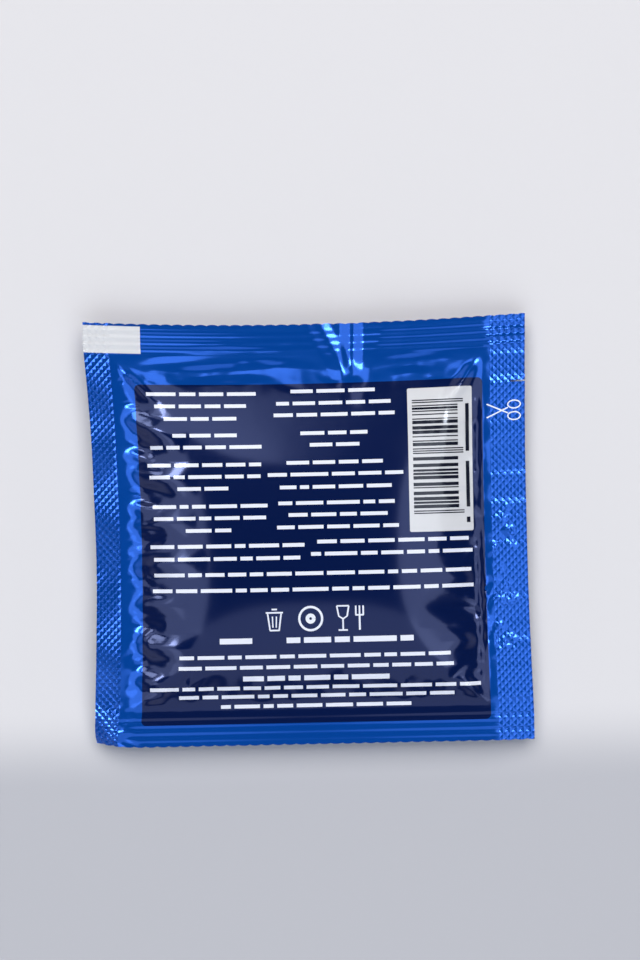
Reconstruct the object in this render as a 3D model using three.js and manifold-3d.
// A sealed, gas-filled film sachet that holds one coffee pod, lying on its back.
// Two webs of printed film are heat-sealed on all four sides: the ends by ribbed jaws that a scalloped knife
// cuts apart, the sides by diamond-knurled jaws. The gas blows the webs into a pillow, which pulls the edges in
// and gathers the film into folds along the seals.
//
// Millimetres. X runs across the film, Y from the bottom seal to the top seal, and Z up out of the printed face.
// The origin is on the surface that the sachet lies on, under the middle of its outline.
import * as THREE from "three";
import { mergeVertices } from "three/addons/utils/BufferGeometryUtils.js";
import Module from "manifold-3d";

const wasm = await Module();
wasm.setup();

// Driving dimensions
const FILM_WIDTH = 96;
const FILM_HEIGHT = 92.4;
const LEFT_SEAL_WIDTH = 6.2;
const RIGHT_SEAL_WIDTH = 9.6;
const END_SEAL_WIDTH = 8;
const SEAL_THICKNESS = 0.4;

const KNURL_PITCH = 1.55; // crest to crest, across and along a side seal
const KNURL_RELIEF = 0.28;
const LEFT_KNURL_MARGIN = 0.8; // plain film between the knurl and the pillow
const RIGHT_KNURL_MARGIN = 1.7;
const ANVIL_RELIEF = 0.12; // cross ribs that the side jaw's anvil leaves on the back
const RIB_PITCH = 1.6;
const RIB_RELIEF = 0.36;
const RIB_COUNT = 4;
const RIB_FADE = 0.5; // the share of their relief that the ribs lose half way along
const SCALLOP_PITCH = 2.5;
const SCALLOP_DEPTH = 0.5;
const TEAR_SLIT_LENGTH = 3.5;
const TEAR_SLIT_WIDTH = 0.3;
const TEAR_SLIT_FROM_TOP = 14.7;

const FRONT_CROWN = 8.6; // above the seals
const BACK_CROWN = 6.4; // below the seals, before the table flattens it
const RESTING_DEPTH = 5.6; // from the seals down to the flat that the sachet lies on
const POD_RADIUS = 22;
const POD_CENTRE = { x: -3, y: -6 };
const POD_SHOW = 0.5; // how far the pod lifts the film over it

// How far the pillow takes to reach its crown from each seal: the pod has slid towards the bottom.
const FRONT_RUN = { left: 40, right: 34, bottom: 31, top: 45 };
const BACK_RUN = { left: 30, right: 30, bottom: 26, top: 32 };
const RISE_POWER = 2.2; // how steeply a run starts
const HIP_POWER = 4; // how sharp the ridges are that run in from the corners

// Folds that the gathered film makes along its seals. Each starts "at" a place along its seal and reaches in
// from it, leaning along the seal on the way. It stands "height" proud of the pillow, or below it when
// negative, and its facets widen up to "half" to each side.
const FRONT_FOLDS = [
  { seal: "left", at: 29, height: -0.8, half: 3.2, reach: 15, lean: -4 },
  { seal: "left", at: 24.5, height: 0.9, half: 3, reach: 16, lean: -4 },
  { seal: "left", at: 20.2, height: -0.9, half: 2.8, reach: 14, lean: -4 },
  { seal: "left", at: 15.6, height: 0.7, half: 2.2, reach: 13, lean: -1.6 },
  { seal: "left", at: 12, height: -0.7, half: 2, reach: 12, lean: 0.4 },
  { seal: "left", at: 8.4, height: 1.2, half: 3, reach: 16, lean: 1.2 },
  { seal: "left", at: 4.6, height: -1, half: 2.6, reach: 13, lean: 0.6 },
  { seal: "left", at: 0.8, height: 0.9, half: 2.6, reach: 14, lean: 1 },
  { seal: "left", at: -2.6, height: -0.8, half: 2.2, reach: 11, lean: 0.6 },
  { seal: "left", at: -6.4, height: 0.8, half: 2.8, reach: 15, lean: 1 },
  { seal: "left", at: -10.4, height: -0.8, half: 2.4, reach: 12, lean: 0.4 },
  { seal: "left", at: -14.4, height: 0.8, half: 2.8, reach: 15, lean: 0.2 },
  { seal: "left", at: -18.2, height: -0.7, half: 2.2, reach: 12, lean: -0.6 },
  { seal: "left", at: -21.8, height: 0.8, half: 2.6, reach: 14, lean: -1.4 },
  { seal: "left", at: -25.4, height: -1, half: 2.6, reach: 16, lean: -1.4 },
  { seal: "left", at: -29.2, height: 0.7, half: 2.2, reach: 12, lean: -1.2 },
  { seal: "left", at: -32.6, height: -0.7, half: 1.8, reach: 9, lean: -0.4 },
  { seal: "right", at: 24, height: 0.5, half: 4, reach: 13, lean: -2 },
  { seal: "right", at: 14, height: -0.5, half: 3.4, reach: 11, lean: -1 },
  { seal: "right", at: 5, height: 0.5, half: 3.4, reach: 11, lean: 1 },
  { seal: "right", at: -4, height: -0.5, half: 3.2, reach: 10, lean: 1 },
  { seal: "right", at: -11, height: 0.5, half: 3.2, reach: 11, lean: 1 },
  { seal: "right", at: -18, height: -1, half: 4.4, reach: 15, lean: 1.5 },
  { seal: "right", at: -24.5, height: 0.7, half: 2.8, reach: 10, lean: 0.5 },
  { seal: "right", at: -31, height: -0.7, half: 2.6, reach: 9, lean: -1 },
  { seal: "top", at: -27, height: 0.5, half: 4, reach: 11, lean: 3 },
  { seal: "top", at: -17, height: -0.6, half: 4.4, reach: 12, lean: 2 },
  { seal: "top", at: -7, height: 0.5, half: 4, reach: 10, lean: 2 },
  { seal: "top", at: 24, height: 0.5, half: 5, reach: 11, lean: -2 },
  { seal: "bottom", at: -22, height: -0.5, half: 3.4, reach: 8, lean: 1 },
  { seal: "bottom", at: -11, height: 0.5, half: 3.8, reach: 9, lean: 0 },
  { seal: "bottom", at: 6, height: -0.4, half: 4.4, reach: 9, lean: 0 },
  { seal: "bottom", at: 20, height: 0.5, half: 3.8, reach: 9, lean: -1 },
];
const BACK_FOLDS = [
  { seal: "left", at: 18, height: -0.7, half: 3.5, reach: 14, lean: -2 },
  { seal: "left", at: -2, height: 0.7, half: 3.5, reach: 14, lean: 0 },
  { seal: "left", at: -20, height: -0.7, half: 3.5, reach: 14, lean: 1 },
  { seal: "right", at: 15, height: 0.6, half: 3.5, reach: 12, lean: -1 },
  { seal: "right", at: -6, height: -0.7, half: 3.5, reach: 12, lean: 0 },
  { seal: "right", at: -24, height: 0.6, half: 3.5, reach: 12, lean: 2 },
  { seal: "top", at: -16, height: 0.6, half: 4, reach: 12, lean: 2 },
  { seal: "top", at: 14, height: -0.6, half: 4, reach: 12, lean: -2 },
  { seal: "bottom", at: -10, height: -0.6, half: 4, reach: 10, lean: 1 },
  { seal: "bottom", at: 16, height: 0.6, half: 4, reach: 10, lean: -1 },
];
const FOLD_CLEARANCE = 2.5; // a fold reaches its height this far from its seal
const FOLD_START = 0.38; // the share of its half width that a fold has at its seal

// Sharp ridges that run in from the corners of the printed face
const CORNER_RIDGES = [
  { side: "left", end: "top", reach: { x: 9.6, y: 11.4 }, height: 0.9, half: 2.2 },
  { side: "right", end: "top", reach: { x: 8.5, y: 12.5 }, height: 0.9, half: 2.6 },
  { side: "left", end: "bottom", reach: { x: 11, y: 6.4 }, height: 0.8, half: 1.8 },
  { side: "right", end: "bottom", reach: { x: 7.6, y: 7.6 }, height: 0.7, half: 2.2 },
];

// The pinch in the middle of the top seal: a valley between a narrow slanting ridge and a broad facet.
// "lean" is how far a line moves in X for each millimetre down from the top edge.
const PINCH_LENGTH = 17;
const PINCH = [
  { x: 10.1, lean: 0, height: -1.3, half: 2.4 },
  { x: 2.8, lean: 0.5, height: 0.9, half: 2.6 },
  { x: 17.5, lean: -0.3, height: 0.9, half: 5 },
];

// How the blown-up pillow and handling bend the flat film
const PULL_IN = { left: 1.9, right: 0.8, top: 1.5 };
const PULL_MIDDLE = { left: -5, right: 6, top: -1 };
const SEAL_WAVE = { left: 0.5, right: 0.25, length: 31 };
const CORNER_CURL = { reach: 11, drop: 3.2 }; // the bottom left corner turns down

// Facets
const PILLOW_GRID = { across: 20, along: 34 };
const END_SEAL_STATIONS = 12;
const LEAST_CELL = 0.6; // between a crease and the grid lines that stay beside it
const GRADING = 0.45; // how much finer a grid is at its ends than on average
const SEAM_LAP = 0.3; // how far pieces run into each other before they are fused

// Places that follow from the sizes
const EDGE = { left: -FILM_WIDTH / 2, right: FILM_WIDTH / 2, bottom: -FILM_HEIGHT / 2, top: FILM_HEIGHT / 2 };
const CAVITY = {
  left: EDGE.left + LEFT_SEAL_WIDTH,
  right: EDGE.right - RIGHT_SEAL_WIDTH,
  bottom: EDGE.bottom + END_SEAL_WIDTH,
  top: EDGE.top - END_SEAL_WIDTH,
};

// Where the pinch's creases and their feet cross the inner edge of the top seal
const pinchPlaces = PINCH.flatMap(({ x, lean, half }) => {
  const crossing = x + lean * END_SEAL_WIDTH;
  return [crossing - half, crossing, crossing + half];
});

const clamp01 = (t) => Math.min(1, Math.max(0, t));
const tent = (t) => Math.max(0, 1 - Math.abs(t));
const smooth = (t) => clamp01(t) ** 2 * (3 - 2 * clamp01(t));

// From 0 at a seal to 1 once the film is "run" away from it.
const rise = (distance, run) => 1 - (1 - clamp01(distance / run)) ** RISE_POWER;

// The pillow's height over the cavity: a hipped dome that is zero along the seals.
function pillow(x, y, crown, run) {
  const across = rise(x - CAVITY.left, run.left) * rise(CAVITY.right - x, run.right);
  const along = rise(y - CAVITY.bottom, run.bottom) * rise(CAVITY.top - y, run.top);
  if (across <= 0 || along <= 0) return 0;
  return crown * ((across ** -HIP_POWER + along ** -HIP_POWER) / 2) ** (-1 / HIP_POWER);
}

// A crease's height beside its line: "along" runs from 0 at its start to 1 at its end, and "off" is the
// distance from the line. It swells soon after its start and dies out towards its end.
function creaseHeight(along, off, height, half) {
  if (along <= 0 || along >= 1) return 0;
  const swell = Math.min(1.2, 4.6 * along ** 0.8 * (1 - along) ** 1.6);
  return height * swell * tent(off / (half * (FOLD_START + (1 - FOLD_START) * along)));
}

// Distance in from a fold's seal, and distance along that seal from the fold's start.
function placeOnSeal(x, y, fold) {
  if (fold.seal === "left") return [x - CAVITY.left, y - fold.at];
  if (fold.seal === "right") return [CAVITY.right - x, y - fold.at];
  if (fold.seal === "bottom") return [y - CAVITY.bottom, x - fold.at];
  return [CAVITY.top - y, x - fold.at];
}

function gathers(x, y, folds) {
  return folds.reduce((sum, fold) => {
    const [inward, sideways] = placeOnSeal(x, y, fold);
    const along = inward / fold.reach;
    return sum + creaseHeight(along, sideways - fold.lean * along, fold.height, fold.half);
  }, 0);
}

function cornerRidges(x, y) {
  return CORNER_RIDGES.reduce((sum, { side, end, reach, height, half }) => {
    const inX = Math.abs(x - CAVITY[side]);
    const inY = Math.abs(y - CAVITY[end]);
    const length = Math.hypot(reach.x, reach.y);
    const along = (inX * reach.x + inY * reach.y) / length ** 2;
    return sum + creaseHeight(along, (inX * reach.y - inY * reach.x) / length, height, half);
  }, 0);
}

// Folds never reach the seals themselves, where both webs are welded flat.
function besideSeals(x, y) {
  const nearest = Math.min(x - CAVITY.left, CAVITY.right - x, y - CAVITY.bottom, CAVITY.top - y);
  return smooth(nearest / FOLD_CLEARANCE);
}

function frontHeight(x, y) {
  const fromPod = Math.hypot(x - POD_CENTRE.x, y - POD_CENTRE.y) / POD_RADIUS;
  const pod = POD_SHOW * smooth(1.5 - fromPod);
  const creases = gathers(x, y, FRONT_FOLDS) + cornerRidges(x, y);
  return pillow(x, y, FRONT_CROWN, FRONT_RUN) + (pod + creases) * besideSeals(x, y);
}

// The back is as full, but its weight presses it flat on the table.
function backDepth(x, y) {
  const depth = pillow(x, y, BACK_CROWN, BACK_RUN) + gathers(x, y, BACK_FOLDS) * besideSeals(x, y);
  return Math.min(Math.max(0, depth), RESTING_DEPTH);
}

// Grid lines from one value to another, closer together at both ends.
function graded(from, to, count) {
  return Array.from({ length: count + 1 }, (_, i) => {
    const t = i / count;
    return from + (to - from) * (t - (GRADING * Math.sin(2 * Math.PI * t)) / (2 * Math.PI));
  });
}

// Grid lines at an even spacing.
function even(from, to, count) {
  return Array.from({ length: count + 1 }, (_, i) => from + ((to - from) * i) / count);
}

// Grid lines with the given places added, in place of the lines that come too near to them.
function withPlaces(lines, places) {
  const added = [];
  for (const place of [...places].sort((a, b) => a - b)) {
    if (added.every((other) => place - other > LEAST_CELL)) added.push(place);
  }
  const clear = (line) => added.every((place) => Math.abs(line - place) > LEAST_CELL);
  const inner = lines.slice(1, -1).filter(clear);
  return [lines[0], ...inner, ...added, lines[lines.length - 1]].sort((a, b) => a - b);
}

// The vertices of one face over a grid, with its triangles facing up. The diagonals alternate, so that a
// chequered height makes four-sided pyramids.
function faceOver(xs, ys, height) {
  const points = ys.flatMap((y, j) => xs.map((x, i) => [x, y, height(x, y, i, j)]));
  const triangles = [];
  for (let j = 0; j + 1 < ys.length; j++) {
    for (let i = 0; i + 1 < xs.length; i++) {
      const a = j * xs.length + i;
      const [b, c, d] = [a + 1, a + 1 + xs.length, a + xs.length];
      if ((i + j) % 2) triangles.push([a, b, c], [a, c, d]);
      else triangles.push([a, b, d], [b, c, d]);
    }
  }
  return { points, triangles };
}

// The outline of a grid, as vertex numbers, anticlockwise from above.
function outlineOf(n, m) {
  const at = (i, j) => j * n + i;
  const loop = [];
  for (let i = 0; i + 1 < n; i++) loop.push(at(i, 0));
  for (let j = 0; j + 1 < m; j++) loop.push(at(n - 1, j));
  for (let i = n - 1; i > 0; i--) loop.push(at(i, m - 1));
  for (let j = m - 1; j > 0; j--) loop.push(at(0, j));
  return loop;
}

// Triangles over a grid that lie in rungs from its left side to its right side, and use no line between.
function rungs(n, m) {
  const at = (i, j) => j * n + i;
  const triangles = [];
  for (let i = 0; i + 1 < n; i++) triangles.push([at(i, 0), at(i + 1, 0), at(0, 1)]);
  triangles.push([at(n - 1, 0), at(n - 1, 1), at(0, 1)]);
  for (let j = 1; j + 2 < m; j++) {
    triangles.push([at(0, j), at(n - 1, j), at(0, j + 1)]);
    triangles.push([at(0, j + 1), at(n - 1, j), at(n - 1, j + 1)]);
  }
  for (let i = 0; i + 1 < n; i++) triangles.push([at(n - 1, m - 2), at(i + 1, m - 1), at(i, m - 1)]);
  triangles.push([at(0, m - 2), at(n - 1, m - 2), at(0, m - 1)]);
  return triangles;
}

// A closed body from an upper face, a lower face and the wall between their outlines.
function bodyBetween(xs, ys, high, low, laddered = false) {
  const upper = faceOver(xs, ys, high);
  const lower = faceOver(xs, ys, low);
  const shift = upper.points.length;
  const below = laddered ? rungs(xs.length, ys.length) : lower.triangles;
  const under = below.map(([a, b, c]) => [a + shift, c + shift, b + shift]);
  const loop = outlineOf(xs.length, ys.length);
  const wall = loop.flatMap((a, k) => {
    const b = loop[(k + 1) % loop.length];
    return [
      [a, a + shift, b + shift],
      [a, b + shift, b],
    ];
  });
  const geometry = new THREE.BufferGeometry();
  const positions = [...upper.points, ...lower.points].flat();
  geometry.setAttribute("position", new THREE.Float32BufferAttribute(positions, 3));
  geometry.setIndex([...upper.triangles, ...under, ...wall].flat());
  return geometry;
}

function solidOf(geometry) {
  const bare = geometry.clone();
  bare.deleteAttribute("normal");
  bare.deleteAttribute("uv");
  const merged = mergeVertices(bare.index ? bare.toNonIndexed() : bare);
  const mesh = new wasm.Mesh({
    numProp: 3,
    vertProperties: merged.attributes.position.array,
    triVerts: new Uint32Array(merged.index.array),
  });
  return new wasm.Manifold(mesh);
}

// The blown-up part: it is thinner than the seals where it runs into them.
function blownPillow() {
  const [inset, lap] = [SEAM_LAP / 2, SEAM_LAP];
  const across = graded(CAVITY.left + inset, CAVITY.right - inset, PILLOW_GRID.across);
  const along = even(CAVITY.bottom + inset, CAVITY.top - inset, PILLOW_GRID.along);
  const xs = [CAVITY.left - lap, ...withPlaces(across, pinchPlaces), CAVITY.right + lap];
  const ys = [CAVITY.bottom - lap, ...along, CAVITY.top + lap];
  const skin = SEAL_THICKNESS / 4;
  return bodyBetween(xs, ys, (x, y) => skin + frontHeight(x, y), (x, y) => -skin - backDepth(x, y));
}

// A side seal: diamond knurl over its outer part, and a plain margin beside the pillow. Both its ends thin
// down to tongues that run into the end seals.
function sideSeal(outer, inner, margin) {
  const inward = Math.sign(inner - outer);
  const knurled = Math.abs(inner - outer) - margin;
  const columns = Math.round(knurled / (KNURL_PITCH / 2));
  const xs = [...even(outer, outer + inward * knurled, columns), inner];
  if (inward < 0) xs.reverse();
  const rows = 2 * Math.round((CAVITY.top - CAVITY.bottom) / KNURL_PITCH);
  const body = even(CAVITY.bottom + SEAM_LAP / 2, CAVITY.top - SEAM_LAP / 2, rows);
  const ys = [CAVITY.bottom - SEAM_LAP, ...body, CAVITY.top + SEAM_LAP];
  const half = (j) => (j === 0 || j === ys.length - 1 ? SEAL_THICKNESS / 4 : SEAL_THICKNESS / 2);
  const onKnurl = (x, j) => Math.abs(x - outer) < knurled + SEAM_LAP && j > 0 && j < ys.length - 1;
  const high = (x, y, i, j) => half(j) + (onKnurl(x, j) && (i + j) % 2 === 0 ? KNURL_RELIEF : 0);
  const low = (x, y, i, j) => -half(j) - (j % 2 ? ANVIL_RELIEF : 0);
  return bodyBetween(xs, ys, high, low, true);
}

// An end seal: film pressed into ribs that run the full width, so that a crest on one face is a hollow on
// the other. "outer" is the cut edge and "inner" the pillow's side.
function endSeal(outer, inner, creases = []) {
  const inward = Math.sign(inner - outer);
  const ribbed = RIB_COUNT * RIB_PITCH;
  const start = outer + (inward * (END_SEAL_WIDTH - ribbed)) / 2;
  const ys = [outer, ...even(start, start + inward * ribbed, 2 * RIB_COUNT), inner];
  if (inward < 0) ys.reverse();
  const xs = withPlaces(even(EDGE.left, EDGE.right, END_SEAL_STATIONS), creases);
  const last = ys.length - 1;
  const pressed = (x) => 1 - RIB_FADE * Math.cos((Math.PI * x) / FILM_WIDTH) ** 2;
  const wave = (x, j) => (j > 1 && j < last - 1 ? (j % 2 ? -0.5 : 0.5) * RIB_RELIEF * pressed(x) : 0);
  const high = (x, y, i, j) => wave(x, j) + SEAL_THICKNESS / 2;
  const low = (x, y, i, j) => wave(x, j) - SEAL_THICKNESS / 2;
  return bodyBetween(xs, ys, high, low);
}

// What the scalloped knife takes off beyond an end: lobes of film stay between sharp inward points.
function scallopCut(side) {
  const clear = 5;
  const count = Math.ceil(FILM_WIDTH / SCALLOP_PITCH) + 1;
  const firstPoint = (-count * SCALLOP_PITCH) / 2;
  const root = FILM_HEIGHT / 2 - SCALLOP_DEPTH;
  const outline = new THREE.Shape().moveTo(firstPoint, root);
  for (let k = 0; k < count; k++) {
    const x = firstPoint + k * SCALLOP_PITCH;
    const lobeTop = root + 2 * SCALLOP_DEPTH; // a quadratic curve passes half way to its control point
    outline.quadraticCurveTo(x + SCALLOP_PITCH / 2, lobeTop, x + SCALLOP_PITCH, root);
  }
  outline.lineTo(-firstPoint, root + clear).lineTo(firstPoint, root + clear).closePath();
  const cut = new THREE.ExtrudeGeometry(outline, { depth: 2 * clear, bevelEnabled: false, curveSegments: 2 });
  cut.translate(0, 0, -clear);
  return side === "top" ? cut : cut.rotateZ(Math.PI);
}

function tearSlit() {
  const slit = new THREE.BoxGeometry(2 * TEAR_SLIT_LENGTH, TEAR_SLIT_WIDTH, 10 * SEAL_THICKNESS);
  return slit.translate(EDGE.right, EDGE.top - TEAR_SLIT_FROM_TOP, 0);
}

// The pinch's ridges and valley, fading out down the pillow.
function pinchHeight(x, y) {
  const down = EDGE.top - y;
  const fade = smooth(1.2 - down / PINCH_LENGTH);
  return PINCH.reduce(
    (sum, line) => sum + fade * line.height * tent((x - line.x - line.lean * down) / line.half),
    0,
  );
}

// Moves a point of the flat-sealed pack to where the finished one has it.
function bend([x, y, z]) {
  const [u, v] = [x / EDGE.right, y / EDGE.top];
  const arch = (t) => Math.max(0, 1 - t * t);
  const onEnds = smooth((Math.abs(y) - CAVITY.top) / (EDGE.top - CAVITY.top));
  const left = PULL_IN.left * arch((y - PULL_MIDDLE.left) / EDGE.top) * (1 - onEnds) * clamp01(-u);
  const right = PULL_IN.right * arch((y - PULL_MIDDLE.right) / EDGE.top) * clamp01(u);
  const down = PULL_IN.top * arch((x - PULL_MIDDLE.top) / EDGE.right) * clamp01(v);

  const turn = (2 * Math.PI * y) / SEAL_WAVE.length;
  const waves = SEAL_WAVE.left * Math.sin(turn) * smooth((-u - 0.7) / 0.3);
  const rightWaves = SEAL_WAVE.right * Math.cos(turn) * smooth((u - 0.7) / 0.3);

  const intoCorner = (CORNER_CURL.reach - (x - EDGE.left) - (y - EDGE.bottom)) / CORNER_CURL.reach;
  const curl = clamp01(intoCorner) ** 2;
  const lift = z + waves + rightWaves + pinchHeight(x, y) - CORNER_CURL.drop * curl;
  return [x + left - right + curl, y - down + curl, lift];
}

// The flat-sealed pieces are fused and cut, and the finished skin is bent.
function sachetGeometry() {
  const fused = [
    sideSeal(EDGE.left, CAVITY.left, LEFT_KNURL_MARGIN),
    sideSeal(EDGE.right, CAVITY.right, RIGHT_KNURL_MARGIN),
    endSeal(EDGE.top, CAVITY.top, pinchPlaces),
    endSeal(EDGE.bottom, CAVITY.bottom),
  ].reduce((pack, piece) => pack.add(solidOf(piece)), solidOf(blownPillow()));
  const cut = [scallopCut("top"), scallopCut("bottom"), tearSlit()].reduce(
    (pack, tool) => pack.subtract(solidOf(tool)),
    fused,
  );
  const { vertProperties, triVerts } = cut.getMesh();
  const positions = new Float32Array(vertProperties.length);
  for (let k = 0; k < vertProperties.length; k += 3) {
    positions.set(bend(vertProperties.subarray(k, k + 3)), k);
  }
  const geometry = new THREE.BufferGeometry();
  geometry.setAttribute("position", new THREE.BufferAttribute(positions, 3));
  geometry.setIndex(new THREE.BufferAttribute(triVerts, 1));
  geometry.computeBoundingBox();
  const { min, max } = geometry.boundingBox;
  geometry.translate(-(min.x + max.x) / 2, -(min.y + max.y) / 2, -min.z);
  geometry.computeVertexNormals();
  return geometry;
}

const film = new THREE.MeshStandardMaterial({ color: 0x0b4fb4, roughness: 0.22, metalness: 0.35 });
const sachet = new THREE.Mesh(sachetGeometry(), film);
sachet.name = "sachet";

const pack = new THREE.Group();
pack.add(sachet);

export default pack;
